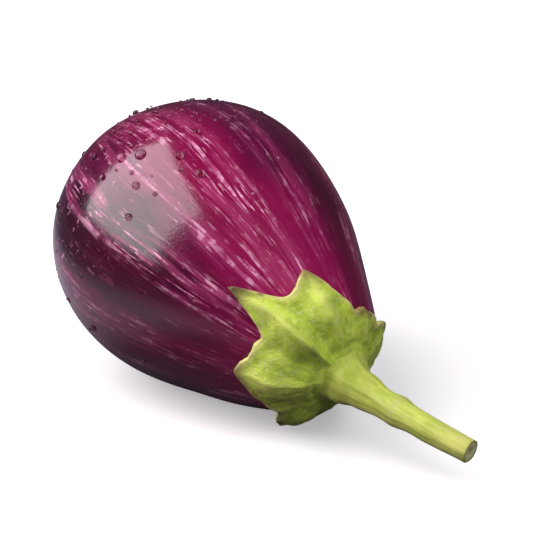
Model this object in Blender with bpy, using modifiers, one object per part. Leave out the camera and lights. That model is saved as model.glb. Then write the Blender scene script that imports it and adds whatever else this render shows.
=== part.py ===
"""A small striped eggplant, as picked, lying on its side: the fruit, the calyx that caps its neck, and the stem.

Metres, +Z up. The origin is under the point where the round belly meets the ground, on the small flat spot that
the fruit rests on. Each piece is modelled in the fruit's own frame, whose origin is the centre of the widest
section and whose +Z runs along the fruit's axis to the stem. One empty then lays all of them down, with the stem
towards +X and dipping.
"""

from bisect import bisect_left
from itertools import accumulate
from math import cos, pi, radians, sin

import bmesh
import bpy
from mathutils import Vector
from mathutils.geometry import interpolate_bezier

# Driving dimensions of the fruit
FRUIT_RADIUS = 0.0275
BLOSSOM_LENGTH = 0.0270  # from the widest section back to the blossom end
NECK_LENGTH = 0.0423  # from the widest section on to the top of the neck, under the calyx
NECK_START = 0.0384  # how far along the axis the blunt shoulder of the neck begins
NECK_RADIUS = 0.0129  # the radius there
NECK_TAPER = radians(31)  # the slope of the cone that the fruit narrows in
FRUIT_TURNS = 52  # segments round the axis

# How it lies
REST_TILT = radians(17)  # the axis dips by this much towards the stem
FLAT_DEPTH = 0.0008  # how much of the belly the resting spot takes off

# Calyx: a cap of even thickness that follows the neck, with lobes lying back along the fruit
GAP = 0.0003  # left between pieces that touch
CALYX_THICKNESS = 0.0013
CALYX_TURNS = 72
CALYX_RINGS = 9
CALYX_EYE = 0.0010  # radius of the innermost ring
LOBE_POINT = 1.25  # above 1, a lobe's sides curve in towards its tip
# The calyx's edge, as lobe tips and the notches between them in turn. Each row: angle round the axis from the
# side that lies uppermost, reach over the neck from its top, and how far the edge stands off the fruit
CALYX_EDGE = (
    (radians(15), 0.0208, 0.0003),
    (radians(30), 0.0186, 0),
    (radians(45), 0.0278, 0.0008),
    (radians(65), 0.0172, 0),
    (radians(90), 0.0195, 0.0006),
    (radians(130), 0.0127, 0),
    (radians(160), 0.0165, 0.0010),
    (radians(190), 0.0130, 0),
    (radians(220), 0.0185, 0.0010),
    (radians(255), 0.0130, 0),
    (radians(285), 0.0140, 0.0003),
    (radians(310), 0.0106, 0),
    (radians(330), 0.0117, 0),
    (radians(350), 0.0114, 0),
)

# Stem, from its foot on the calyx to its cut end: place in the fruit's frame, handle there, and radius
STEM_FOOT = NECK_LENGTH + 2 * GAP + CALYX_THICKNESS
STEM_POINTS = (
    (Vector((0, 0, STEM_FOOT)), Vector((0, 0, 0.0020)), 0.0048),
    (Vector((-0.0001, 0.0005, STEM_FOOT + 0.0060)), Vector((-0.0002, 0.0006, 0.0030)), 0.0033),
    (Vector((-0.0006, 0.0026, STEM_FOOT + 0.0155)), Vector((-0.0002, 0.0012, 0.0045)), 0.0025),
    (Vector((-0.0014, 0.0060, STEM_FOOT + 0.0282)), Vector((-0.0003, 0.0014, 0.0045)), 0.0023),
)

BEZIER_CIRCLE = 0.5523  # handle length that makes a Bezier quarter round, as a share of its radius

# Each finish: linear colour, roughness
FINISHES = {
    "skin": ((0.105, 0.004, 0.038, 1), 0.22),
    "calyx": ((0.300, 0.420, 0.075, 1), 0.60),
    "stem": ((0.400, 0.480, 0.085, 1), 0.55),
}


def clear_scene():
    for obj in list(bpy.data.objects):
        bpy.data.objects.remove(obj)


def new_collection(name):
    made = bpy.data.collections.new(name)
    bpy.context.scene.collection.children.link(made)
    return made


def give_finish(obj, name):
    """Gives an object its own Principled BSDF material."""
    colour, roughness = FINISHES[name]
    material = bpy.data.materials.new(name)
    material.use_nodes = True
    shader = material.node_tree.nodes["Principled BSDF"]
    shader.inputs["Base Color"].default_value = colour
    shader.inputs["Roughness"].default_value = roughness
    shader.inputs["Metallic"].default_value = 0
    obj.data.materials.append(material)


def fruit_outline():
    """The fruit's half outline as (radius, 0, height along the axis), from the top of the neck to the blossom end."""
    top = Vector((0, 0, NECK_LENGTH))
    shoulder = Vector((NECK_RADIUS, 0, NECK_START))
    widest = Vector((FRUIT_RADIUS, 0, 0))
    blossom = Vector((0, 0, -BLOSSOM_LENGTH))
    cheek = FRUIT_RADIUS * BEZIER_CIRCLE
    uphill = Vector((-sin(NECK_TAPER), 0, cos(NECK_TAPER)))  # along the cone, towards the stem
    curves = (
        (top, top + Vector((0.0076, 0, 0)), shoulder + 0.0034 * uphill, shoulder, 8),
        (shoulder, shoulder - 0.0130 * uphill, widest + Vector((0, 0, 0.0125)), widest, 13),
        (widest, widest - Vector((0, 0, cheek)), blossom + Vector((cheek, 0, 0)), blossom, 11),
    )
    points = [top]
    for start, handle, next_handle, end, count in curves:
        points += interpolate_bezier(start, handle, next_handle, end, count)[1:]
    return points


def laid_down(points):
    """The empty that carries every piece: it lays the axis down and puts the belly's lowest point at the origin."""
    down = Vector((cos(REST_TILT), 0, sin(REST_TILT)))
    belly = max(points, key=down.dot)
    carrier = bpy.data.objects.new("eggplant_axis", None)
    bpy.context.scene.collection.objects.link(carrier)
    carrier.rotation_euler = (0, pi / 2 + REST_TILT, 0)
    along = belly.z * cos(REST_TILT) - belly.x * sin(REST_TILT)
    carrier.location = (-along, 0, down.dot(belly) - FLAT_DEPTH)
    return carrier


def turned_fruit(points):
    """The berry: its outline turned about the axis."""
    mesh = bpy.data.meshes.new("fruit")
    mesh.from_pydata(points, [(i, i + 1) for i in range(len(points) - 1)], [])
    fruit = bpy.data.objects.new("fruit", mesh)
    turn = fruit.modifiers.new("turn", "SCREW")
    turn.steps = turn.render_steps = FRUIT_TURNS
    turn.use_merge_vertices = True
    turn.merge_threshold = 0.00001
    turn.use_smooth_shade = True
    return fruit


def ground_cutter():
    """A block below the ground, which takes the resting spot off the belly."""
    side, height = 0.12, 0.02
    bpy.ops.mesh.primitive_cube_add(size=1, location=(0, 0, -height / 2), scale=(side, side, height))
    cutter = bpy.context.object
    cutter.name = "ground_cutter"
    bpy.ops.object.transform_apply(location=False, rotation=False, scale=True)
    cutter.hide_render = True
    cutter.display_type = "WIRE"
    return cutter


def flatten_belly(fruit, cutter):
    cut = fruit.modifiers.new("resting_spot", "BOOLEAN")
    cut.operation = "DIFFERENCE"
    cut.solver = "EXACT"
    cut.object = cutter


def along_outline(points):
    """A function from distance along the outline, and lift off it, to a (radius, 0, height) point."""
    steps = [(b - a).length for a, b in zip(points, points[1:])]
    reached = [0, *accumulate(steps)]

    def place(distance, lift):
        i = min(max(bisect_left(reached, distance), 1), len(steps))
        share = (distance - reached[i - 1]) / steps[i - 1]
        run = (points[i] - points[i - 1]).normalized()
        outward = Vector((-run.z, 0, run.x))
        return points[i - 1].lerp(points[i], share) + lift * outward

    return place


def calyx_edge(angle):
    """How far the calyx runs over the neck at this angle, and how far its edge stands off the fruit there."""
    for here, after in zip(CALYX_EDGE, CALYX_EDGE[1:] + CALYX_EDGE[:1]):
        span = (after[0] - here[0]) % (2 * pi)
        share = (angle - here[0]) % (2 * pi) / span
        if share < 1:
            break
    tip, notch = (here, after) if here[1] > after[1] else (after, here)
    rise = (1 - share if tip is here else share) ** LOBE_POINT
    return notch[1] + (tip[1] - notch[1]) * rise, notch[2] + (tip[2] - notch[2]) * rise


def calyx_cap(points):
    """The calyx: rings grown outwards over the neck as one open skin, then thickened away from the fruit."""
    place = along_outline(points)
    angles = [2 * pi * i / CALYX_TURNS for i in range(CALYX_TURNS)]
    edges = [calyx_edge(angle) for angle in angles]

    def lay(ring, share):
        for vert, angle, (reach, stand_off) in zip(ring, angles, edges):
            at = place(CALYX_EYE + (reach - CALYX_EYE) * share, GAP + stand_off * share**2)
            # Angle 0 is the side that lies uppermost, which is -X in the fruit's frame.
            vert.co = (-at.x * cos(angle), -at.x * sin(angle), at.z)

    bm = bmesh.new()
    ring = list(bmesh.ops.create_circle(bm, cap_ends=True, segments=CALYX_TURNS, radius=CALYX_EYE)["verts"])
    lay(ring, 0)
    for step in range(1, CALYX_RINGS + 1):
        rim = [bm.edges.get(pair) for pair in zip(ring, ring[1:] + ring[:1])]
        grown = bmesh.ops.extrude_edge_only(bm, edges=rim)["geom"]
        fresh = {item for item in grown if isinstance(item, bmesh.types.BMVert)}
        ring = [next(e.other_vert(v) for e in v.link_edges if e.other_vert(v) in fresh) for v in ring]
        lay(ring, step / CALYX_RINGS)
    bmesh.ops.recalc_face_normals(bm, faces=bm.faces)
    bm.faces.ensure_lookup_table()
    if bm.faces[0].normal.z < 0:
        bmesh.ops.reverse_faces(bm, faces=bm.faces)
    mesh = bpy.data.meshes.new("calyx")
    bm.to_mesh(mesh)
    bm.free()
    mesh.shade_smooth()
    calyx = bpy.data.objects.new("calyx", mesh)
    wall = calyx.modifiers.new("wall", "SOLIDIFY")
    wall.thickness = CALYX_THICKNESS
    wall.offset = 1
    return calyx


def stem_rod():
    """The stem: a rod that flares at its foot, swells a little at the cut end, and lifts away from the ground."""
    curve = bpy.data.curves.new("stem", "CURVE")
    curve.dimensions = "3D"
    curve.resolution_u = 6
    curve.bevel_depth = 1
    curve.bevel_resolution = 4
    curve.use_fill_caps = True
    spline = curve.splines.new("BEZIER")
    spline.bezier_points.add(len(STEM_POINTS) - 1)
    for point, (place, handle, radius) in zip(spline.bezier_points, STEM_POINTS):
        point.co = place
        point.handle_left = place - handle
        point.handle_right = place + handle
        point.radius = radius
    return bpy.data.objects.new("stem", curve)


def main():
    clear_scene()
    parts = new_collection("eggplant")
    cutters = new_collection("cutters")
    points = fruit_outline()
    carrier = laid_down(points)

    fruit = turned_fruit(points)
    calyx = calyx_cap(points)
    stem = stem_rod()
    for piece, name in ((fruit, "skin"), (calyx, "calyx"), (stem, "stem")):
        parts.objects.link(piece)
        piece.parent = carrier
        give_finish(piece, name)

    cutter = ground_cutter()
    for holder in list(cutter.users_collection):
        holder.objects.unlink(cutter)
    cutters.objects.link(cutter)
    flatten_belly(fruit, cutter)


main()
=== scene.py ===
# %% [markdown]
# # A small striped eggplant
#
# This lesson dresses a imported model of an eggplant: a glossy purple fruit lying on its side, the green calyx
# that caps its neck, and the cut stem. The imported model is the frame. Each piece made here replaces one of its
# nodes and keeps to its place, so what is seen and what is simulated stay one object. Lengths are in metres.

# %% Load the frame
import random
from math import atan2, cos, exp, pi, radians, sin, sqrt

import bmesh
import bpy
from mathutils import Matrix, Vector, noise
from mathutils.geometry import interpolate_bezier


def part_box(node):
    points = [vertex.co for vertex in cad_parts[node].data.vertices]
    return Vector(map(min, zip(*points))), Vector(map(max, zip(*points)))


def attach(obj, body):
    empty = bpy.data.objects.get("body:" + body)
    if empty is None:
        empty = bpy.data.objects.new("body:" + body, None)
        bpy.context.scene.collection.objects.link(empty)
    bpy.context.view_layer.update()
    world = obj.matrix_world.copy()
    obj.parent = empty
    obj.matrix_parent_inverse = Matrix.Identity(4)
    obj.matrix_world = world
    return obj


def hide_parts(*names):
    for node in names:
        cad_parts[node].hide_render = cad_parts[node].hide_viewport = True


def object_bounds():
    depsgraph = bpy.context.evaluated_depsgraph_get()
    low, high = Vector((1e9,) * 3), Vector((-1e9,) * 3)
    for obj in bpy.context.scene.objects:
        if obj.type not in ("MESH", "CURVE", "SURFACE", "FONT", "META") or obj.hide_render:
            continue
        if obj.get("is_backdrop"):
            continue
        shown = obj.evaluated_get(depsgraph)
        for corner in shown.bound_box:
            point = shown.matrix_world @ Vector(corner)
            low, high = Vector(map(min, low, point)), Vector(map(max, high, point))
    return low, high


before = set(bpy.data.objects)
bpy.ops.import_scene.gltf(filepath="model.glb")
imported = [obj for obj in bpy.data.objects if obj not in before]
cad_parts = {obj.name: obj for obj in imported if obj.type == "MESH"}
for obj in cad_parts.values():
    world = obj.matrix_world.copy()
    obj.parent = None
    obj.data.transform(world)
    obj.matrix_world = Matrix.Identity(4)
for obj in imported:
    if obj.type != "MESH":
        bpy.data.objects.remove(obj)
cad_low, cad_high = (list(corner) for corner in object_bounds())
print("packed nodes:", sorted(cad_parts), "box:", cad_low, cad_high)

# %% [markdown]
# ## Camera
#
# The eggplant is looked at from its stem side and from a little above, so that the axis runs down to the right.
# A long lens keeps the fat end from swelling. The camera is placed by two angles round the middle of the frame.

# %% Camera
AZIMUTH, ELEVATION = radians(50), radians(23)
LENS = 135
FRAMED_WIDTH = 0.104  # how much of the subject's plane the picture's width covers

camera_data = bpy.data.cameras.new("camera")
camera_data.lens = LENS
camera = bpy.data.objects.new("camera", camera_data)
bpy.context.scene.collection.objects.link(camera)
bpy.context.scene.camera = camera

towards_camera = Vector((
    sin(AZIMUTH) * cos(ELEVATION), -cos(AZIMUTH) * cos(ELEVATION), sin(ELEVATION)
))
middle = (Vector(cad_low) + Vector(cad_high)) / 2 + Vector((0.002, 0.001, -0.001))
distance = FRAMED_WIDTH * LENS / camera_data.sensor_width
camera.location = middle + distance * towards_camera
camera.rotation_euler = towards_camera.to_track_quat("Z", "Y").to_euler()
camera_data.clip_start = 0.01
print("camera", round(distance, 3), "m away")

# %% [markdown]
# ## Studio
#
# The eggplant lies on a plain white floor in soft light. One big soft box, high on the left, makes the wide
# lilac window on the skin; a broad one fills from the right and leaves no reflection. The world is white to the
# eye but dim to the skin, so the edges of the fruit stay dark and rich.
#
# The floor plays two parts. To the eye it is white and glows more with distance, so that it meets the white world
# without a horizon. To everything else it is dark, but for a paler patch just left of the fruit, which gives the
# lower left edge of the skin its soft sheen. Real floors don't do this; it stands in for what lies around.

# %% Floor, lights and world
scene = bpy.context.scene
scene.view_settings.view_transform = "Standard"
FLOOR_SIZE = 4.0
FLOOR_WHITE = (0.86, 0.86, 0.87)
DARK_TO_SKIN, PALE_TO_SKIN = (0.075, 0.065, 0.085), (0.40, 0.38, 0.44)


def plain_material(name, colour, roughness):
    """A material with its Principled BSDF, and the shader to set more on."""
    material = bpy.data.materials.new(name)
    material.use_nodes = True
    shader = material.node_tree.nodes["Principled BSDF"]
    shader.inputs["Base Color"].default_value = (*colour, 1)
    shader.inputs["Roughness"].default_value = roughness
    return material, shader


floor_bm = bmesh.new()
bmesh.ops.create_grid(floor_bm, x_segments=1, y_segments=1, size=FLOOR_SIZE / 2)
floor_mesh = bpy.data.meshes.new("floor")
floor_bm.to_mesh(floor_mesh)
floor_bm.free()
floor = bpy.data.objects.new("floor", floor_mesh)
bpy.context.scene.collection.objects.link(floor)
floor_material, floor_shader = plain_material("floor", FLOOR_WHITE, 0.9)
floor_tree = floor_material.node_tree
floor_shader.inputs["Specular IOR Level"].default_value = 0
floor_shader.inputs["Emission Color"].default_value = (1, 0.985, 1, 1)


def floor_node(kind, **settings):
    made = floor_tree.nodes.new(kind)
    for key, value in settings.items():
        setattr(made, key, value)
    return made


def floor_ramp(start, end, low, high):
    """A ramp from low to high between two distances."""
    made = floor_node("ShaderNodeMapRange")
    for socket, value in zip(("From Min", "From Max", "To Min", "To Max"), (start, end, low, high)):
        made.inputs[socket].default_value = value
    return made


floor_light = floor_node("ShaderNodeLightPath")
floor_place = floor_node("ShaderNodeTexCoord")
how_far = floor_node("ShaderNodeVectorMath", operation="LENGTH")
glow = floor_ramp(0.10, 0.60, 0.34, 1.0)
seen_glow = floor_node("ShaderNodeMath", operation="MULTIPLY")
leftward = floor_node("ShaderNodeVectorMath", operation="DOT_PRODUCT")
leftward.inputs[1].default_value = (-cos(AZIMUTH), -sin(AZIMUTH), 0)
to_left = floor_ramp(0.024, 0.050, 0, 1)
not_far = floor_ramp(0.075, 0.170, 1, 0)
both = floor_node("ShaderNodeMath", operation="MULTIPLY")
calm = floor_node("ShaderNodeMix", data_type="RGBA")
calm.inputs["A"].default_value = (*DARK_TO_SKIN, 1)
calm.inputs["B"].default_value = (*PALE_TO_SKIN, 1)
lit = floor_node("ShaderNodeMix", data_type="RGBA")
lit.inputs["B"].default_value = (*FLOOR_WHITE, 1)
for source, socket in (
    (floor_place.outputs["Object"], how_far.inputs[0]),
    (how_far.outputs["Value"], glow.inputs["Value"]),
    (glow.outputs["Result"], seen_glow.inputs[0]),
    (floor_light.outputs["Is Camera Ray"], seen_glow.inputs[1]),
    (seen_glow.outputs[0], floor_shader.inputs["Emission Strength"]),
    (floor_place.outputs["Object"], leftward.inputs[0]),
    (leftward.outputs["Value"], to_left.inputs["Value"]),
    (how_far.outputs["Value"], not_far.inputs["Value"]),
    (to_left.outputs["Result"], both.inputs[0]),
    (not_far.outputs["Result"], both.inputs[1]),
    (both.outputs[0], calm.inputs["Factor"]),
    (floor_light.outputs["Is Camera Ray"], lit.inputs["Factor"]),
    (calm.outputs["Result"], lit.inputs["A"]),
    (lit.outputs["Result"], floor_shader.inputs["Base Color"]),
):
    floor_tree.links.new(source, socket)
floor.data.materials.append(floor_material)
floor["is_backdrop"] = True


def soft_box(name, direction, away, width, height, watts, colour=(1, 1, 1)):
    """A rectangular light that looks at the eggplant from a direction."""
    data = bpy.data.lights.new(name, "AREA")
    data.shape = "RECTANGLE"
    data.size, data.size_y = width, height
    data.energy = watts
    data.color = colour
    light = bpy.data.objects.new(name, data)
    light.location = middle + away * direction.normalized()
    light.rotation_euler = direction.to_track_quat("Z", "Y").to_euler()
    bpy.context.scene.collection.objects.link(light)
    return light


# Directions are made from the camera's own right, up and towards.
right_of_view = Vector((cos(AZIMUTH), sin(AZIMUTH), 0))
up_of_view = towards_camera.cross(right_of_view)


def seen_from_camera(right, up, towards):
    return right * right_of_view + up * up_of_view + towards * towards_camera


soft_box("window", seen_from_camera(-0.70, 0.60, 0.38), 0.70, 0.80, 0.86, 8.6, (1.0, 0.925, 0.970))
fill = soft_box("fill", seen_from_camera(0.60, 0.62, 0.80), 1.60, 1.50, 1.50, 16)
fill.visible_glossy = False

world = bpy.data.worlds.new("studio")
scene.world = world
world.use_nodes = True
world_tree = world.node_tree
background = world_tree.nodes["Background"]
eye = world_tree.nodes.new("ShaderNodeLightPath")
shade = world_tree.nodes.new("ShaderNodeMix")
shade.data_type = "RGBA"
shade.inputs["A"].default_value = (0.05, 0.045, 0.055, 1)
shade.inputs["B"].default_value = (1, 1, 1, 1)
world_tree.links.new(eye.outputs["Is Camera Ray"], shade.inputs["Factor"])
world_tree.links.new(shade.outputs["Result"], background.inputs["Color"])

# %% [markdown]
# ## The fruit's own frame
#
# The fruit is easiest to think about standing up: its axis along +Z, the widest section at zero and the stem at
# the top. The outline is three Bezier curves, from the blunt top of the neck, down the cone, round the belly to
# the blossom end. Everything is made standing and then laid down once, stem towards +X and dipping a little.

# %% Outline of the fruit
FRUIT_RADIUS = 0.0275
BLOSSOM_LENGTH = 0.0270
NECK_LENGTH = 0.0423
NECK_START, NECK_RADIUS = 0.0384, 0.0129
NECK_TAPER = radians(31)
REST_TILT = radians(17)
ROUND = 0.5523  # the handle that makes a Bezier quarter round


def fruit_outline(fineness):
    """(radius, 0, height) points from the top of the neck to the blossom end."""
    top, shoulder = Vector((0, 0, NECK_LENGTH)), Vector((NECK_RADIUS, 0, NECK_START))
    widest, blossom = Vector((FRUIT_RADIUS, 0, 0)), Vector((0, 0, -BLOSSOM_LENGTH))
    uphill = Vector((-sin(NECK_TAPER), 0, cos(NECK_TAPER)))
    cheek = FRUIT_RADIUS * ROUND
    curves = (
        (top, top + Vector((0.0076, 0, 0)), shoulder + 0.0034 * uphill, shoulder, 8),
        (shoulder, shoulder - 0.0130 * uphill, widest + Vector((0, 0, 0.0125)), widest, 13),
        (widest, widest - Vector((0, 0, cheek)), blossom + Vector((cheek, 0, 0)), blossom, 12),
    )
    points = [top]
    for start, handle, next_handle, end, count in curves:
        points += interpolate_bezier(start, handle, next_handle, end, count * fineness)[1:]
    return points


OUTLINE = fruit_outline(5)
LENGTHS = [0]
for before, after in zip(OUTLINE, OUTLINE[1:]):
    LENGTHS.append(LENGTHS[-1] + (after - before).length)


def on_outline(reach, lift):
    """The (radius, 0, height) point at a distance over the outline from the neck's top, lifted off it."""
    i = next((n for n, done in enumerate(LENGTHS) if done >= reach), len(LENGTHS) - 1)
    i = max(i, 1)
    share = (reach - LENGTHS[i - 1]) / (LENGTHS[i] - LENGTHS[i - 1])
    run = (OUTLINE[i] - OUTLINE[i - 1]).normalized()
    return OUTLINE[i - 1].lerp(OUTLINE[i], share) + lift * Vector((-run.z, 0, run.x))


def standing(angle, reach, lift):
    """A point of the standing fruit. Angle 0 is the side that will lie uppermost, a quarter turn is -Y."""
    at = on_outline(reach, lift)
    return Vector((-at.x * cos(angle), -at.x * sin(angle), at.z))


def smooth_step(low, high, value):
    share = min(max((value - low) / (high - low), 0), 1)
    return share * share * (3 - 2 * share)


# Laid down, the outline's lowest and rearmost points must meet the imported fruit's box.
turned = Matrix.Rotation(pi / 2 + REST_TILT, 4, "Y")
fruit_low, fruit_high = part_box("fruit")
rear = min((turned @ Vector((s * p.x, 0, p.z))).x for p in OUTLINE for s in (-1, 1))
crest = max((turned @ Vector((s * p.x, 0, p.z))).z for p in OUTLINE for s in (-1, 1))
LAID = Matrix.Translation((fruit_low[0] - rear, 0, fruit_high[2] - crest)) @ turned
print("outline", len(OUTLINE), "points,", round(LENGTHS[-1], 4), "m long; axis laid at", LAID.translation)

# %% [markdown]
# ## Making a piece
#
# Every piece is a bmesh that ends as one closed body whose object sits at the origin. Two helpers do what all
# of them need: one grows a ring of edges outwards and lays the new ring on a shape, and one lays the finished
# standing mesh down, checks which way its faces look and hands it to the frame.

# %% Helpers for growing and finishing a mesh
def grow(bm, ring):
    """Extrudes a closed ring of vertices and gives back the new ring in the same order."""
    rim = [bm.edges.get(pair) for pair in zip(ring, ring[1:] + ring[:1])]
    grown = bmesh.ops.extrude_edge_only(bm, edges=rim)["geom"]
    fresh = {item for item in grown if isinstance(item, bmesh.types.BMVert)}
    return [next(e.other_vert(v) for e in v.link_edges if e.other_vert(v) in fresh) for v in ring]


def lay_ring(ring, places):
    for vert, place in zip(ring, places):
        vert.co = place


def finish_piece(bm, name, material, node=None):
    """Lays a standing bmesh down and makes it an object that rides on the eggplant's one body."""
    bmesh.ops.transform(bm, matrix=LAID, verts=bm.verts)
    bmesh.ops.recalc_face_normals(bm, faces=bm.faces)
    mesh = bpy.data.meshes.new(name)
    bm.to_mesh(mesh)
    loose = sum(1 for e in bm.edges if len(e.link_faces) != 2)
    bm.free()
    mesh.shade_smooth()
    piece = bpy.data.objects.new(name, mesh)
    bpy.context.scene.collection.objects.link(piece)
    mesh.materials.append(material)
    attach(piece, "root")
    if node:
        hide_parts(node)
    print(name, len(mesh.polygons), "faces,", loose, "open edges")
    return piece


# %% [markdown]
# ## Effects the finishes share
#
# Purple skin, green calyx and stem all have marks that run from stem to blossom, and blotches that don't. Each
# effect is one node group with named sockets. The first turns a place on the laid fruit back to the standing
# frame, in millimetres, so that patterns can follow the fruit's own lines.

# %% Node helpers
def add_node(tree, kind, **settings):
    made = tree.nodes.new(kind)
    for key, value in settings.items():
        setattr(made, key, value)
    return made


def feed(tree, source, socket):
    """Links a node's first output, or a socket, or sets a plain value."""
    if isinstance(source, bpy.types.Node):
        source = next(output for output in source.outputs if output.enabled)
    if isinstance(source, bpy.types.NodeSocket):
        tree.links.new(source, socket)
    else:
        socket.default_value = source


def math_node(tree, operation, *values, clamp=False):
    made = add_node(tree, "ShaderNodeMath", operation=operation, use_clamp=clamp)
    for socket, value in zip(made.inputs, values):
        feed(tree, value, socket)
    return made.outputs[0]


def vector_node(tree, operation, *values):
    made = add_node(tree, "ShaderNodeVectorMath", operation=operation)
    sockets = [made.inputs[0], made.inputs["Scale"]] if operation == "SCALE" else made.inputs
    for socket, value in zip(sockets, values):
        feed(tree, value, socket)
    return made.outputs["Value"] if operation == "DOT_PRODUCT" else made.outputs["Vector"]


def step_node(tree, value, low, high):
    """Turns a value into a mask that climbs smoothly from 0 at low to 1 at high."""
    made = add_node(tree, "ShaderNodeMapRange", interpolation_type="SMOOTHSTEP")
    for socket, source in zip(("Value", "From Min", "From Max"), (value, low, high)):
        feed(tree, source, made.inputs[socket])
    return made.outputs["Result"]


def blend_node(tree, share, one, other, blend_type="MIX"):
    made = add_node(tree, "ShaderNodeMix", data_type="RGBA", blend_type=blend_type)
    for socket, source in ((made.inputs[0], share), (made.inputs[6], one), (made.inputs[7], other)):
        feed(tree, (*source, 1) if isinstance(source, tuple) and len(source) == 3 else source, socket)
    return made.outputs[2]


def noise_node(tree, place, scale, detail=2.0, roughness=0.5, distortion=0.0):
    made = add_node(tree, "ShaderNodeTexNoise")
    feed(tree, place, made.inputs["Vector"])
    for name, value in (("Scale", scale), ("Detail", detail), ("Roughness", roughness), ("Distortion", distortion)):
        feed(tree, value, made.inputs[name])
    return made.outputs["Fac"]


def new_group(name, inputs, outputs):
    """A node group with named sockets: its tree, its input node and its output node."""
    tree = bpy.data.node_groups.new(name, "ShaderNodeTree")
    for socket_name, kind, value in inputs:
        made = tree.interface.new_socket(socket_name, in_out="INPUT", socket_type=kind)
        if value is not None:
            made.default_value = value
    for socket_name, kind in outputs:
        tree.interface.new_socket(socket_name, in_out="OUTPUT", socket_type=kind)
    return tree, add_node(tree, "NodeGroupInput"), add_node(tree, "NodeGroupOutput")


def use_group(tree, group, **values):
    made = add_node(tree, "ShaderNodeGroup")
    made.node_tree = group
    for name, value in values.items():
        feed(tree, value, made.inputs[name.replace("_", " ").capitalize()])
    return made


# %% Group: the standing frame, in millimetres
fruit_frame, _, frame_out = new_group("fruit_frame", [], [("Place", "NodeSocketVector")])
here = add_node(fruit_frame, "ShaderNodeTexCoord")
stand_up = add_node(fruit_frame, "ShaderNodeMapping", vector_type="TEXTURE")
stand_up.inputs["Location"].default_value = LAID.translation
stand_up.inputs["Rotation"].default_value = (0, pi / 2 + REST_TILT, 0)
stand_up.inputs["Scale"].default_value = (0.001, 0.001, 0.001)
fruit_frame.links.new(here.outputs["Object"], stand_up.inputs["Vector"])
fruit_frame.links.new(stand_up.outputs["Vector"], frame_out.inputs["Place"])

# %% [markdown]
# ## Streaks
#
# Noise is looked up by direction round the axis and, drawn out, by height, so it makes lines that run along the
# fruit. A ramp turns the noise into a mask; the raw noise is given out too, for bumps.

# %% Group: streaks that run along the fruit
streaks, given, out = new_group(
    "streaks",
    [
        ("Place", "NodeSocketVector", None),
        ("Crowd", "NodeSocketFloat", 20.0),  # more is thinner and closer together
        ("Length", "NodeSocketFloat", 12.0),  # in millimetres
        ("Cover", "NodeSocketFloat", 0.55),  # more is fewer
        ("Soft", "NodeSocketFloat", 0.08),
        ("Seed", "NodeSocketFloat", 0.0),
    ],
    [("Mask", "NodeSocketFloat"), ("Raw", "NodeSocketFloat")],
)
flat = vector_node(streaks, "MULTIPLY", given.outputs["Place"], (1, 1, 0))
around = vector_node(streaks, "SCALE", vector_node(streaks, "NORMALIZE", flat), given.outputs["Crowd"])
split = add_node(streaks, "ShaderNodeSeparateXYZ")
feed(streaks, given.outputs["Place"], split.inputs[0])
along = math_node(streaks, "DIVIDE", split.outputs["Z"], given.outputs["Length"])
shifted = math_node(streaks, "ADD", along, given.outputs["Seed"])
rise = add_node(streaks, "ShaderNodeCombineXYZ")
feed(streaks, shifted, rise.inputs["Z"])
lines = noise_node(streaks, vector_node(streaks, "ADD", around, rise), 1.0, detail=2.5, roughness=0.55)
top_of_ramp = math_node(streaks, "ADD", given.outputs["Cover"], given.outputs["Soft"])
feed(streaks, step_node(streaks, lines, given.outputs["Cover"], top_of_ramp), out.inputs["Mask"])
feed(streaks, lines, out.inputs["Raw"])

# %% [markdown]
# ## Blotches
#
# The same idea without a direction: plain cloud noise of a stated size, as a mask and raw.

# %% Group: blotches with no direction
blotches, given, out = new_group(
    "blotches",
    [
        ("Place", "NodeSocketVector", None),
        ("Size", "NodeSocketFloat", 2.0),  # in millimetres
        ("Cover", "NodeSocketFloat", 0.55),
        ("Soft", "NodeSocketFloat", 0.08),
    ],
    [("Mask", "NodeSocketFloat"), ("Raw", "NodeSocketFloat")],
)
fine = math_node(blotches, "DIVIDE", 1.0, given.outputs["Size"])
cloud = noise_node(blotches, given.outputs["Place"], fine, detail=3.0, roughness=0.55)
top_of_ramp = math_node(blotches, "ADD", given.outputs["Cover"], given.outputs["Soft"])
feed(blotches, step_node(blotches, cloud, given.outputs["Cover"], top_of_ramp), out.inputs["Mask"])
feed(blotches, cloud, out.inputs["Raw"])
print("groups:", [group.name for group in bpy.data.node_groups])

# %% [markdown]
# ## Skin
#
# The skin is one deep purple with a wax gloss. Paler flecks and lines run from stem to blossom in bands, as
# they follow the veins of the flower the fruit grew from: long thin lines near the neck, short dashes on the
# belly, specks at the blossom end. Each band is a direction round the axis; the streak group fills it. Other
# bands, and the blossom end, are kept dark. The broad dark bands on the underside are painted shade.

# %% Finish: skin
DEEP, CRIMSON, VIOLET = (0.024, 0.0006, 0.010), (0.235, 0.0022, 0.056), (0.180, 0.003, 0.072)
PINK, PALE = (0.52, 0.095, 0.24), (0.88, 0.44, 0.62)

# Angle round the axis in degrees, half width, strength
STREAK_BANDS = (
    (18, 8, 1.0), (37, 8, 0.70), (62, 7, 1.0), (98, 8, 0.30), (128, 9, 0.40), (158, 8, 0.8),
    (190, 10, 0.9), (222, 8, 0.6), (248, 9, 0.9), (282, 10, 0.5), (318, 7, 0.4), (350, 7, 0.45),
)

# Dark bands, same columns: the narrow ones are dark stripes; the broad ones at 115 and 178 degrees, on the underside,
# are painted shade
DARK_STRIPES_AND_UNDERSIDE_SHADE = (
    (80, 9, 0.85), (115, 22, 0.70), (178, 45, 0.60), (205, 9, 0.6), (265, 12, 0.7), (300, 10, 0.5), (335, 9, 0.55),
)


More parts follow.
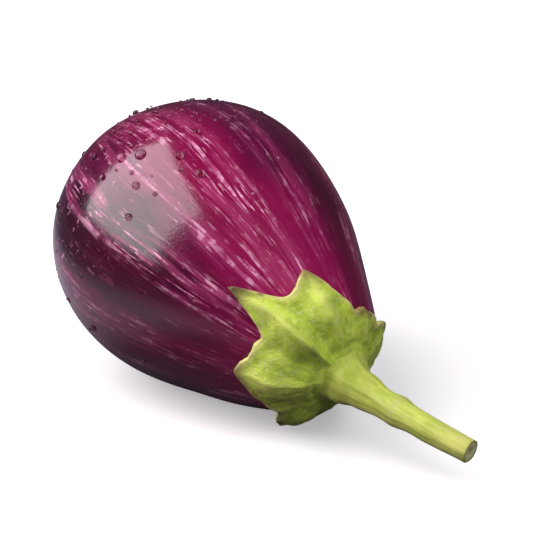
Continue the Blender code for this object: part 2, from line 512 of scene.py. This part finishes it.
def skin_material():
    material, shader = plain_material("skin", DEEP, 0.21)
    tree = material.node_tree
    place = use_group(tree, fruit_frame).outputs["Place"]

    # A slow drift, so that no line is ruler straight.
    drift = add_node(tree, "ShaderNodeTexNoise")
    feed(tree, place, drift.inputs["Vector"])
    drift.inputs["Scale"].default_value = 0.05
    sway = vector_node(tree, "SCALE", vector_node(tree, "SUBTRACT", drift.outputs["Color"], (0.5, 0.5, 0.5)), 1.6)
    place = vector_node(tree, "ADD", place, sway)

    split = add_node(tree, "ShaderNodeSeparateXYZ")
    feed(tree, place, split.inputs[0])
    height = split.outputs["Z"]
    belly = step_node(tree, height, 12.0, -14.0)  # 1 towards the blossom end
    neck = step_node(tree, height, 10.0, 38.0)  # 1 under the calyx

    facing = vector_node(tree, "NORMALIZE", vector_node(tree, "MULTIPLY", place, (1, 1, 0)))

    def banded(table, start):
        total = start
        for angle, half_width, strength in table:
            way = (-cos(radians(angle)), -sin(radians(angle)), 0)
            near = vector_node(tree, "DOT_PRODUCT", facing, way)
            mask = step_node(tree, near, cos(radians(half_width * 1.5)), cos(radians(half_width * 0.4)))
            total = math_node(tree, "MULTIPLY_ADD", mask, strength, total)
        return math_node(tree, "MINIMUM", total, 1.0)

    bands = banded(STREAK_BANDS, 0.02)

    # Ground colour: deep purple, with crimson and violet clouds drawn out along the fruit.
    warm = use_group(tree, streaks, place=place, crowd=1.5, length=40.0, cover=0.38, soft=0.26, seed=3.1)
    cool = use_group(tree, streaks, place=place, crowd=2.4, length=30.0, cover=0.45, soft=0.25, seed=8.4)
    ground = blend_node(tree, warm.outputs["Mask"], DEEP, CRIMSON)
    cool_share = math_node(tree, "MULTIPLY", cool.outputs["Mask"], 0.65)
    ground = blend_node(tree, cool_share, ground, VIOLET)
    near_neck = math_node(tree, "MULTIPLY", neck, 0.55)
    ground = blend_node(tree, near_neck, ground, (0.31, 0.003, 0.080))
    grain = use_group(tree, streaks, place=place, crowd=34.0, length=5.0, cover=0.40, soft=0.30, seed=1.7)
    dusk = math_node(tree, "MULTIPLY", grain.outputs["Mask"], 0.22)
    ground = blend_node(tree, dusk, ground, (0.28, 0.006, 0.075))

    strokes = use_group(tree, streaks, place=place, crowd=10.0, length=16.0, cover=0.46, soft=0.14, seed=6.6)
    blush = math_node(tree, "MULTIPLY", math_node(tree, "MULTIPLY", strokes.outputs["Mask"], bands), 0.36)
    # Darker stripes, the blossom end and the underside go towards deep purple; on the underside this is painted shade.
    darkening_and_underside_shade = math_node(tree, "MULTIPLY", banded(DARK_STRIPES_AND_UNDERSIDE_SHADE, 0.0), math_node(tree, "MULTIPLY_ADD", neck, -0.6, 1.0))
    darkening_and_underside_shade = math_node(tree, "MAXIMUM", darkening_and_underside_shade, math_node(tree, "MULTIPLY", belly, 0.40))
    ground = blend_node(tree, darkening_and_underside_shade, ground, DEEP)
    ground = blend_node(tree, blush, ground, (0.52, 0.070, 0.210))

    # Marks: long lines, short dashes and specks, each kept to the bands by more or less.
    lines = use_group(tree, streaks, place=place, crowd=25.0, length=13.0, cover=0.57, soft=0.05, seed=0.4)
    hairs = use_group(tree, streaks, place=place, crowd=64.0, length=9.0, cover=0.60, soft=0.05, seed=5.2)
    dashes = use_group(tree, streaks, place=place, crowd=36.0, length=4.2, cover=0.63, soft=0.04, seed=2.9)
    specks = use_group(tree, blotches, place=place, size=1.05, cover=0.61, soft=0.05)
    wide = math_node(tree, "MULTIPLY_ADD", bands, 0.75, 0.14)
    marks = math_node(tree, "MULTIPLY", lines.outputs["Mask"], bands)
    hair_share = math_node(tree, "MULTIPLY", bands, 0.7)
    marks = math_node(tree, "MAXIMUM", marks, math_node(tree, "MULTIPLY", hairs.outputs["Mask"], hair_share))
    marks = math_node(tree, "MAXIMUM", marks, math_node(tree, "MULTIPLY", dashes.outputs["Mask"], wide))
    speck_share = math_node(tree, "MULTIPLY", specks.outputs["Mask"], math_node(tree, "MULTIPLY", belly, 0.75))
    marks = math_node(tree, "MAXIMUM", marks, speck_share)
    break_up = use_group(tree, blotches, place=place, size=5.0, cover=0.30, soft=0.30)
    marks = math_node(tree, "MULTIPLY", marks, break_up.outputs["Mask"])

    pale_share = use_group(tree, blotches, place=place, size=2.2, cover=0.46, soft=0.14)
    mark_colour = blend_node(tree, pale_share.outputs["Mask"], PINK, PALE)
    colour = blend_node(tree, math_node(tree, "MULTIPLY", marks, 0.95), ground, mark_colour)
    feed(tree, colour, shader.inputs["Base Color"])

    # Gloss: wax, a touch uneven, with the streaks slightly duller.
    uneven = use_group(tree, blotches, place=place, size=7.0, cover=0.35, soft=0.35)
    rough = math_node(tree, "MULTIPLY_ADD", uneven.outputs["Mask"], 0.05, 0.17)
    feed(tree, math_node(tree, "MULTIPLY_ADD", marks, 0.06, rough), shader.inputs["Roughness"])
    shader.inputs["Coat Weight"].default_value = 0.6
    shader.inputs["Coat Roughness"].default_value = 0.11

    bump = add_node(tree, "ShaderNodeBump")
    bump.inputs["Strength"].default_value = 0.25
    bump.inputs["Distance"].default_value = 0.00012
    pores = noise_node(tree, place, 1.6, detail=2.0)
    veins = math_node(tree, "MULTIPLY_ADD", lines.outputs["Raw"], 1.2, pores)
    feed(tree, veins, bump.inputs["Height"])
    feed(tree, bump, shader.inputs["Normal"])
    return material


skin = skin_material()

# %% [markdown]
# ## Fruit
#
# The fruit is its outline spun round the axis. A spun shape is too perfect, so broad low swellings, as over the
# chambers inside, are added, fading towards the neck. At the blossom end the flower left a dimple. Where the
# belly meets the floor it is pressed almost flat.

# %% Fruit
FRUIT_TURNS = 144
bm = bmesh.new()
profile = [bm.verts.new(point) for point in fruit_outline(4)]
edges = [bm.edges.new(pair) for pair in zip(profile, profile[1:])]
bmesh.ops.spin(
    bm, geom=profile + edges, cent=(0, 0, 0), axis=(0, 0, 1), angle=2 * pi, steps=FRUIT_TURNS, use_merge=True
)
bmesh.ops.remove_doubles(bm, verts=bm.verts, dist=0.000005)


def swell(vert):
    """Low swellings on the belly and the dimple of the blossom end."""
    radius = sqrt(vert.co.x**2 + vert.co.y**2)
    angle = atan2(vert.co.y, vert.co.x)
    fade = 1 - smooth_step(0.018, 0.033, vert.co.z)
    broad = 0.00028 * sin(3 * angle + 0.7) + 0.00016 * sin(5 * angle + 2.0)
    broad += 0.00045 * noise.noise(vert.co * 42 + Vector((5, 2, 9)))
    off_pole = min(radius / 0.012, 1)
    vert.co += vert.normal * broad * fade * off_pole
    if vert.co.z < -0.02:
        vert.co.z += 0.0008 * exp(-((radius / 0.0032) ** 2))


bmesh.ops.recalc_face_normals(bm, faces=bm.faces)
bm.normal_update()
for vert in bm.verts:
    swell(vert)
to_floor, SOFTEN = LAID.inverted(), 0.00030
for vert in bm.verts:
    laid = LAID @ vert.co
    if laid.z < 0.004:
        laid.z = (laid.z + sqrt(laid.z**2 + SOFTEN**2)) / 2
        vert.co = to_floor @ laid
fruit = finish_piece(bm, "fruit_skin", skin, "fruit")

# %% [markdown]
# ## Calyx
#
# The calyx is what is left of the flower's green cup: one leathery cap over the neck, with six pointed lobes and
# one low tooth lying back on the fruit. A keel runs from the stem to each tip and the skin sinks between, so the
# cap looks folded like a tent. It is grown ring by ring over the outline: out along the top, round the rim, and
# back along the underside, which closes it. Each vertex keeps a note of where it grew, for the colours.

# %% Calyx: where its edge runs
LONGEST_KEEL, LONGEST_SWING = 0.0017, radians(5)  # the longest lobe also leans sideways
# Lobe tips and the notches between them in turn: angle in degrees, reach over the neck from its top, how far the
# edge stands off the fruit, height of the keel, and pointedness
CALYX_EDGE = (
    (15, 0.0208, 0.0006, 0.0013, 1.2),
    (31, 0.0186, 0.0002, 0, 0),
    (46, 0.0278, 0.0010, LONGEST_KEEL, 1.8),
    (65, 0.0174, 0.0001, 0, 0),
    (90, 0.0195, 0.0009, 0.0015, 1.6),
    (130, 0.0127, 0.0004, 0, 0),
    (160, 0.0165, 0.0009, 0.0010, 1.2),
    (190, 0.0130, 0.0002, 0, 0),
    (220, 0.0186, 0.0010, 0.0013, 1.4),
    (255, 0.0130, 0.0002, 0, 0),
    (285, 0.0140, 0.0003, 0.0005, 1.3),
    (310, 0.0106, 0.0002, 0, 0),
    (330, 0.0117, 0.0003, 0.0003, 1.2),
    (350, 0.0114, 0.0003, 0, 0),
)
CALYX_EYE = 0.0012
CALYX_WALL = 0.0011
UNDER = 0.0002  # air left between the fruit and the calyx


def calyx_edge(angle):
    """Reach, stand-off, keel height and closeness to the keel (1 on it, 0 in the notch) at an angle."""
    degrees_round = angle * 180 / pi
    for here, after in zip(CALYX_EDGE, CALYX_EDGE[1:] + CALYX_EDGE[:1]):
        share = (degrees_round - here[0]) % 360 / ((after[0] - here[0]) % 360)
        if share < 1:
            break
    tip, notch = (here, after) if here[1] > after[1] else (after, here)
    close = 1 - share if tip is here else share
    rise = close ** tip[4]
    nibble = 0.0005 * noise.noise(Vector((cos(angle), sin(angle), 0.3)) * 7)
    nibble += 0.0002 * noise.noise(Vector((cos(angle), sin(angle), 0.9)) * 23)
    reach = notch[1] + (tip[1] - notch[1]) * rise + nibble
    return reach, notch[2] + (tip[2] - notch[2]) * rise, tip[3], close


def calyx_top(angle, share, edge):
    """How far the top of the calyx is lifted off the fruit, a share of the way out along one angle."""
    reach, stand_off, keel, close = edge
    out = CALYX_EYE + (reach - CALYX_EYE) * share
    crown = 0.0015 * (1 - smooth_step(0.0040, 0.0095, out)) - 0.0004 * exp(-(((out - 0.0062) / 0.0006) ** 2))
    tent = keel * close**1.5 * smooth_step(0.0035, 0.0100, out) * (1 - 0.6 * smooth_step(0.55, 1.0, share))
    sink = -0.0003 * (1 - close) ** 2 * smooth_step(0.006, 0.011, out)
    lip = 0.00035 * smooth_step(0.84, 0.97, share)
    wall = CALYX_WALL - 0.0004 * smooth_step(0.75, 1.0, share) * close
    at = standing(angle, out, 0.001)
    pucker = 0.00042 * noise.noise(at * 300) + 0.00016 * noise.noise(at * 900)
    pucker *= smooth_step(0.0050, 0.0085, out)
    return UNDER + wall + crown + tent + sink + lip + stand_off * share**3 + pucker


# %% [markdown]
# ## Growing the calyx
#
# The rings run out along the top, crowding towards the rim, then over it and back underneath. The note each vertex
# keeps is its share of the way out, how close it is to a keel, and how close it is to the free edge.

# %% Calyx: growing it
CALYX_TURNS, CALYX_RINGS, UNDER_RINGS = 240, 34, 8
angles = [2 * pi * i / CALYX_TURNS for i in range(CALYX_TURNS)]
edges_round = [calyx_edge(angle) for angle in angles]


def calyx_row(share, under=False, beyond=0.0, middle_of_wall=False):
    """The places of one ring, on the top or on the underside of the calyx."""
    row = []
    for angle, edge in zip(angles, edges_round):
        top = calyx_top(angle, share, edge)
        below = UNDER + edge[1] * share**3
        lift = (top + below) / 2 if middle_of_wall else below if under else top
        lean = LONGEST_SWING if edge[2] == LONGEST_KEEL else 0
        swing = lean * edge[3] ** 2 * smooth_step(0.6, 1.0, share)
        row.append(standing(angle + swing, CALYX_EYE + (edge[0] - CALYX_EYE) * share + beyond, lift))
    return row


bm = bmesh.new()
growth = bm.verts.layers.float_vector.new("growth")
ring = list(bmesh.ops.create_circle(bm, cap_ends=True, segments=CALYX_TURNS, radius=CALYX_EYE)["verts"])


def note_growth(ring, share):
    for vert, edge in zip(ring, edges_round):
        margin = max(0, 1 - (1 - share) * (edge[0] - CALYX_EYE) / 0.0025)
        vert[growth] = (share, edge[3], margin)


lay_ring(ring, calyx_row(0))
note_growth(ring, 0)
for step in range(1, CALYX_RINGS + 1):
    share = 1 - (1 - step / CALYX_RINGS) ** 1.25
    ring = grow(bm, ring)
    lay_ring(ring, calyx_row(share))
    note_growth(ring, share)
ring = grow(bm, ring)
lay_ring(ring, calyx_row(1, beyond=0.00030, middle_of_wall=True))
note_growth(ring, 1)
for step in range(UNDER_RINGS):
    share = 1 - 0.75 * step / (UNDER_RINGS - 1)
    ring = grow(bm, ring)
    lay_ring(ring, calyx_row(share, under=True))
    note_growth(ring, share)
bmesh.ops.holes_fill(bm, edges=[e for e in bm.edges if e.is_boundary], sides=0)

# %% [markdown]
# ## The look of the calyx
#
# Green clouds and mottling, paler on the keels and by the stem, straw along the free edge with rust in places, and
# a withered tip on the longest lobe. Painted shade darkens the groove round the stem's foot. Fine felt and ribs
# roughen it.

# %% Finish: calyx
def calyx_material():
    material, shader = plain_material("calyx", (0.2, 0.3, 0.05), 0.6)
    tree = material.node_tree
    place = use_group(tree, fruit_frame).outputs["Place"]
    grown = add_node(tree, "ShaderNodeAttribute", attribute_name="growth")
    split = add_node(tree, "ShaderNodeSeparateXYZ")
    feed(tree, grown.outputs["Vector"], split.inputs[0])
    share, close, margin = split.outputs

    clouds = use_group(tree, blotches, place=place, size=4.5, cover=0.36, soft=0.28)
    mottle = use_group(tree, blotches, place=place, size=1.3, cover=0.42, soft=0.22)
    ribs = use_group(tree, streaks, place=place, crowd=9.0, length=9.0, cover=0.40, soft=0.25, seed=4.0)
    colour = blend_node(tree, clouds.outputs["Mask"], (0.390, 0.540, 0.040), (0.660, 0.840, 0.085))
    colour = blend_node(
        tree, math_node(tree, "MULTIPLY", mottle.outputs["Mask"], 0.55), colour, (0.690, 0.820, 0.150)
    )
    colour = blend_node(
        tree, math_node(tree, "MULTIPLY", ribs.outputs["Mask"], 0.40), colour, (0.400, 0.500, 0.040)
    )
    on_keel = math_node(tree, "MULTIPLY", step_node(tree, close, 0.72, 0.98), 0.6)
    colour = blend_node(tree, on_keel, colour, (0.740, 0.830, 0.170))
    by_stem = math_node(tree, "MULTIPLY", step_node(tree, share, 0.62, 0.22), 0.65)
    colour = blend_node(tree, by_stem, colour, (0.610, 0.800, 0.080))
    flecks = use_group(tree, blotches, place=place, size=0.75, cover=0.57, soft=0.08)
    colour = blend_node(
        tree, math_node(tree, "MULTIPLY", flecks.outputs["Mask"], 0.45), colour, (0.780, 0.760, 0.400)
    )
    spots = use_group(tree, blotches, place=place, size=3.1, cover=0.60, soft=0.08)
    worn = math_node(tree, "MULTIPLY", spots.outputs["Mask"], step_node(tree, share, 0.35, 0.80))
    colour = blend_node(tree, math_node(tree, "MULTIPLY", worn, 0.6), colour, (0.170, 0.120, 0.035))
    straw = math_node(tree, "MULTIPLY", step_node(tree, margin, 0.50, 0.95), 0.75)
    colour = blend_node(tree, straw, colour, (0.740, 0.690, 0.260))
    rust = use_group(tree, blotches, place=place, size=6.0, cover=0.54, soft=0.10)
    rusty = math_node(tree, "MULTIPLY", rust.outputs["Mask"], step_node(tree, margin, 0.35, 0.80))
    colour = blend_node(tree, math_node(tree, "MULTIPLY", rusty, 0.75), colour, (0.260, 0.110, 0.035))
    # Painted shade: a ring in the groove round the stem's foot is darkened, deeper where the mottling is.
    crease_shade_ring = math_node(tree, "MULTIPLY", step_node(tree, share, 0.26, 0.32), step_node(tree, share, 0.42, 0.36))
    crease_shade_strength = math_node(tree, "MULTIPLY_ADD", mottle.outputs["Mask"], 0.35, 0.10)
    painted_crease_shade = math_node(tree, "MULTIPLY", crease_shade_ring, crease_shade_strength)
    colour = blend_node(tree, painted_crease_shade, colour, (0.180, 0.220, 0.030))
    dry = math_node(tree, "MULTIPLY", step_node(tree, share, 0.86, 0.99), step_node(tree, close, 0.62, 0.95))
    colour = blend_node(tree, math_node(tree, "MULTIPLY", dry, 0.75), colour, (0.150, 0.085, 0.030))
    from_tip = vector_node(tree, "SUBTRACT", place, tuple(standing(radians(50), 0.0272, 0) * 1000))
    near_tip = step_node(tree, vector_node(tree, "DOT_PRODUCT", from_tip, from_tip), 30.0, 2.0)
    withered = math_node(tree, "MULTIPLY", near_tip, math_node(tree, "MULTIPLY_ADD", mottle.outputs["Mask"], 0.3, 0.65))
    colour = blend_node(tree, withered, colour, (0.085, 0.045, 0.018))
    feed(tree, colour, shader.inputs["Base Color"])

    feed(tree, math_node(tree, "MULTIPLY_ADD", mottle.outputs["Mask"], 0.12, 0.50), shader.inputs["Roughness"])
    shader.inputs["Sheen Weight"].default_value = 0.06
    shader.inputs["Sheen Roughness"].default_value = 0.4
    bump = add_node(tree, "ShaderNodeBump")
    bump.inputs["Strength"].default_value = 0.65
    bump.inputs["Distance"].default_value = 0.00035
    felt = noise_node(tree, place, 2.2, detail=4.0, roughness=0.62)
    rough = math_node(tree, "MULTIPLY_ADD", ribs.outputs["Raw"], 0.8, felt)
    feed(tree, rough, bump.inputs["Height"])
    feed(tree, bump, shader.inputs["Normal"])
    return material


calyx = finish_piece(bm, "calyx_leaf", calyx_material(), "calyx")

# %% [markdown]
# ## Stem
#
# The stem is a woody stalk that flares where it joins the calyx and was cut clean across. It starts as a ring
# of vertices that is grown along a Bezier path, a little ribbed, with a knuckle part of the way up where a leaf
# or a second flower had been. The cut end is the same ring drawn in, with rind, a pale ring of wood and pith.

# %% Stem: path and thickness
STEM_FOOT = NECK_LENGTH + 0.0019
STEM_POINTS = (  # place, handle
    (Vector((0, 0, STEM_FOOT)), Vector((0, 0, 0.0020))),
    (Vector((-0.0001, 0.0005, STEM_FOOT + 0.0060)), Vector((-0.0002, 0.0006, 0.0030))),
    (Vector((-0.0006, 0.0026, STEM_FOOT + 0.0155)), Vector((-0.0002, 0.0012, 0.0045))),
    (Vector((-0.0014, 0.0060, STEM_FOOT + 0.0282)), Vector((-0.0003, 0.0014, 0.0045))),
)
STEM_RADII = ((0, 0.0056), (0.0020, 0.0046), (0.0055, 0.0035), (0.0105, 0.0027), (0.0180, 0.0024), (0.0300, 0.0022))
KNUCKLE_AT, KNUCKLE_SIDE = 0.0135, radians(115)
STEM_TURNS = 64

path = [STEM_POINTS[0][0]]
for (start, handle), (end, next_handle) in zip(STEM_POINTS, STEM_POINTS[1:]):
    path += interpolate_bezier(start, start + handle, end - next_handle, end, 25)[1:]
gone = [0]
for before, after in zip(path, path[1:]):
    gone.append(gone[-1] + (after - before).length)


def stem_radius(along, angle):
    """Eased between the listed radii, with soft ribs and the knuckle."""
    for (start, thick), (end, thin) in zip(STEM_RADII, STEM_RADII[1:]):
        if along <= end:
            break
    radius = thick + (thin - thick) * smooth_step(start, end, along)
    ribs = 0.022 * sin(5 * angle + 60 * along) + 0.012 * sin(11 * angle - 90 * along)
    wobble = 0.05 * noise.noise(Vector((cos(angle) * 1.2, sin(angle) * 1.2, along * 260)))
    side = max(0, cos(angle - KNUCKLE_SIDE))
    bump = 0.00085 * side**2 * exp(-(((along - KNUCKLE_AT) / 0.0011) ** 2))
    bump += 0.00022 * exp(-(((along - KNUCKLE_AT) / 0.0016) ** 2))
    return radius * (1 + ribs + wobble) + bump


def stem_row(i, draw_in=1.0, push=0.0):
    """One ring across the stem at a point of its path."""
    run = (path[min(i + 1, len(path) - 1)] - path[max(i - 1, 0)]).normalized()
    up = (Vector((-1, 0, 0)) - run * run.dot(Vector((-1, 0, 0)))).normalized()
    side = run.cross(up) * -1
    row = []
    for n in range(STEM_TURNS):
        angle = 2 * pi * n / STEM_TURNS
        out = stem_radius(gone[i], angle) * draw_in
        slant = 0.10 * out * cos(angle - 2.2) if i == len(path) - 1 else 0
        row.append(path[i] + out * (cos(angle) * up + sin(angle) * side) + (push + slant) * run)
    return row


# %% [markdown]
# ## Growing the stem
#
# Each vertex notes which strand of the stem it belongs to, how far along it is, and on the cut end how near the
# middle, so that fibres follow the stem and the cut can show its layers.

# %% Stem: growing it
bm = bmesh.new()
strand = bm.verts.layers.float_vector.new("strand")
core = bm.verts.layers.float.new("core")
ring = list(bmesh.ops.create_circle(bm, cap_ends=True, segments=STEM_TURNS, radius=0.005)["verts"])


def note_strand(ring, along, share):
    for n, vert in enumerate(ring):
        angle = 2 * pi * n / STEM_TURNS
        vert[strand] = (cos(angle), sin(angle), along * 1000)
        vert[core] = share


lay_ring(ring, stem_row(0))
note_strand(ring, 0, 1)
for i in range(1, len(path)):
    ring = grow(bm, ring)
    lay_ring(ring, stem_row(i))
    note_strand(ring, gone[i], 1)
# The cut end: share of the stem's radius, and how far the ring is pushed out
CUT_END = (
    (0.96, 0.00012), (0.88, 0.00014), (0.80, 0.00004), (0.66, 0.00010),
    (0.48, 0.00006), (0.30, -0.00012), (0.12, -0.00025),
)
for share, push in CUT_END:
    ring = grow(bm, ring)
    lay_ring(ring, stem_row(len(path) - 1, share, push))
    note_strand(ring, gone[-1], share)
bmesh.ops.holes_fill(bm, edges=[e for e in bm.edges if e.is_boundary], sides=0)


# %% [markdown]
# ## The look of the stem
#
# Fibres run along it, it turns yellower towards the cut, and a pale scar rings the knuckle.

# %% Finish: stem
def stem_material():
    material, shader = plain_material("stem", (0.3, 0.4, 0.06), 0.55)
    tree = material.node_tree
    strands = add_node(tree, "ShaderNodeAttribute", attribute_name="strand").outputs["Vector"]
    core = add_node(tree, "ShaderNodeAttribute", attribute_name="core").outputs["Fac"]
    split = add_node(tree, "ShaderNodeSeparateXYZ")
    feed(tree, strands, split.inputs[0])

    fibres = use_group(tree, streaks, place=strands, crowd=5.0, length=6.0, cover=0.40, soft=0.22, seed=1.0)
    fine = use_group(tree, streaks, place=strands, crowd=14.0, length=3.0, cover=0.46, soft=0.18, seed=6.0)
    clouds = use_group(tree, streaks, place=strands, crowd=0.9, length=5.0, cover=0.36, soft=0.30, seed=9.0)
    colour = blend_node(tree, clouds.outputs["Mask"], (0.420, 0.520, 0.050), (0.620, 0.720, 0.095))
    colour = blend_node(
        tree, math_node(tree, "MULTIPLY", fibres.outputs["Mask"], 0.45), colour, (0.640, 0.680, 0.190)
    )
    colour = blend_node(
        tree, math_node(tree, "MULTIPLY", fine.outputs["Mask"], 0.25), colour, (0.260, 0.330, 0.045)
    )
    near_cut = math_node(tree, "MULTIPLY", step_node(tree, split.outputs["Z"], 18.0, 30.0), 0.55)
    colour = blend_node(tree, near_cut, colour, (0.620, 0.600, 0.170))
    scar = step_node(
        tree, math_node(tree, "ABSOLUTE", math_node(tree, "SUBTRACT", split.outputs["Z"], KNUCKLE_AT * 1000)), 1.3, 0.2
    )
    colour = blend_node(tree, math_node(tree, "MULTIPLY", scar, 0.35), colour, (0.560, 0.560, 0.210))

    # The cut: rind outside, then a pale ring of wood, then pith.
    on_cut = step_node(tree, core, 0.97, 0.93)
    wood = blend_node(tree, step_node(tree, core, 0.30, 0.42), (0.460, 0.470, 0.170), (0.640, 0.640, 0.340))
    wood = blend_node(tree, step_node(tree, core, 0.72, 0.86), wood, (0.300, 0.370, 0.060))
    colour = blend_node(tree, on_cut, colour, wood)
    feed(tree, colour, shader.inputs["Base Color"])

    feed(tree, math_node(tree, "MULTIPLY_ADD", fine.outputs["Mask"], 0.15, 0.45), shader.inputs["Roughness"])
    shader.inputs["Sheen Weight"].default_value = 0.12
    bump = add_node(tree, "ShaderNodeBump")
    bump.inputs["Strength"].default_value = 0.6
    bump.inputs["Distance"].default_value = 0.00025
    feed(tree, math_node(tree, "MULTIPLY_ADD", fine.outputs["Raw"], 0.6, fibres.outputs["Raw"]), bump.inputs["Height"])
    feed(tree, bump, shader.inputs["Normal"])
    return material


stem = finish_piece(bm, "stem_stalk", stem_material(), "stem")

# %% [markdown]
# ## Blossom scar
#
# Opposite the stem, a small corky star marks where the flower dropped off. It sits in the dimple.

# %% Blossom scar
SCAR_TURNS = 40
SCAR_ROWS = ((0.45, 0.00030), (0.75, 0.00034), (0.95, 0.00022), (1.0, 0.0), (0.8, -0.00030))
scar_base = -BLOSSOM_LENGTH + 0.00065
bm = bmesh.new()
ring = list(bmesh.ops.create_circle(bm, cap_ends=True, segments=SCAR_TURNS, radius=0.0003)["verts"])


def scar_row(share, out):
    row = []
    for n in range(SCAR_TURNS):
        angle = 2 * pi * n / SCAR_TURNS
        star = 0.00125 + 0.00040 * cos(5 * angle + 0.5) + 0.00012 * cos(3 * angle)
        jag = 0.00008 * noise.noise(Vector((cos(angle), sin(angle), share)) * 5)
        radius = star * share + jag
        row.append(Vector((radius * cos(angle), radius * sin(angle), scar_base - out - jag)))
    return row


lay_ring(ring, scar_row(0.2, 0.00018))
for share, out in SCAR_ROWS:
    ring = grow(bm, ring)
    lay_ring(ring, scar_row(share, out))
bmesh.ops.holes_fill(bm, edges=[e for e in bm.edges if e.is_boundary], sides=0)

cork, cork_shader = plain_material("cork", (0.35, 0.25, 0.12), 0.8)
cork_place = use_group(cork.node_tree, fruit_frame).outputs["Place"]
grit = use_group(cork.node_tree, blotches, place=cork_place, size=0.5, cover=0.40, soft=0.25)
feed(
    cork.node_tree,
    blend_node(cork.node_tree, grit.outputs["Mask"], (0.16, 0.095, 0.045), (0.46, 0.36, 0.20)),
    cork_shader.inputs["Base Color"],
)
cork_bump = add_node(cork.node_tree, "ShaderNodeBump")
cork_bump.inputs["Distance"].default_value = 0.0002
feed(cork.node_tree, grit.outputs["Raw"], cork_bump.inputs["Height"])
feed(cork.node_tree, cork_bump, cork_shader.inputs["Normal"])
finish_piece(bm, "blossom_scar", cork)

# %% [markdown]
# ## Water drops
#
# The eggplant has just been washed, and beads of water stand on the wax. Each is a squashed ball sunk to its
# middle in the skin, so only the dome shows. They are thickest at the blossom end, and a few big ones stand
# apart on the shoulder.

# %% Water drops
BIG_DROPS = (  # angle in degrees, reach in millimetres, radius in millimetres
    (35, 58.5, 1.15), (41, 61.5, 1.00), (25, 52.5, 0.95), (24, 47.0, 1.00), (45, 54.0, 0.80), (56, 51.0, 0.65),
    (48, 69.0, 0.70), (343, 33.0, 0.50), (111, 51.5, 0.95), (80, 73.0, 0.95), (68, 82.0, 0.80), (205, 60.0, 0.90),
    (260, 55.0, 0.80), (300, 66.0, 0.95), (240, 74.0, 0.75), (330, 72.0, 0.70),
)
SMALL_DROPS = 230
DROP_SPACING = 1.3  # least distance, in sums of the two radii
LOWEST_DROP = 0.002  # nothing stands where the fruit meets the floor
WATER_SHADE_TINT = (0.78, 0.46, 0.60)  # painted shade: clear water tinted purple so the beads look dark, as on purple skin
luck = random.Random(7)
drops = []


def note_drop(angle, reach, radius):
    drops.append((angle, reach, radius, standing(angle, reach, 0)))


for angle, reach, radius in BIG_DROPS:
    note_drop(radians(angle), reach / 1000, radius / 1000)
while len(drops) < len(BIG_DROPS) + SMALL_DROPS:
    angle, reach = luck.uniform(0, 2 * pi), luck.uniform(0.030, 0.094)
    radius = 0.00022 + 0.00050 * luck.random() ** 2.2
    underneath = cos(angle) < -0.6
    if luck.random() > smooth_step(0.030, 0.070, reach) or (underneath and luck.random() < 0.8):
        continue
    foot = standing(angle, reach, 0)
    if all((foot - other).length > DROP_SPACING * (radius + size) for *_, size, other in drops):
        note_drop(angle, reach, radius)

bm, made_drops = bmesh.new(), 0
for angle, reach, radius, foot in drops:
    if (LAID @ foot).z < LOWEST_DROP:
        continue
    made_drops += 1
    outward = (standing(angle, reach, 0.001) - foot).normalized()
    stretch = Matrix.Diagonal((radius, radius * luck.uniform(0.85, 1.15), radius * luck.uniform(0.65, 0.85), 1))
    turn = outward.to_track_quat("Z", "Y").to_matrix().to_4x4() @ Matrix.Rotation(luck.uniform(0, pi), 4, "Z")
    sides = 20 if radius > 0.0006 else 12
    bmesh.ops.create_uvsphere(
        bm, u_segments=sides, v_segments=sides // 2, radius=1, matrix=Matrix.Translation(foot) @ turn @ stretch
    )

water, water_shader = plain_material("water", WATER_SHADE_TINT, 0.0)
water_shader.inputs["Transmission Weight"].default_value = 1
water_shader.inputs["IOR"].default_value = 1.33
finish_piece(bm, "water_drops", water)
print(made_drops, "drops")
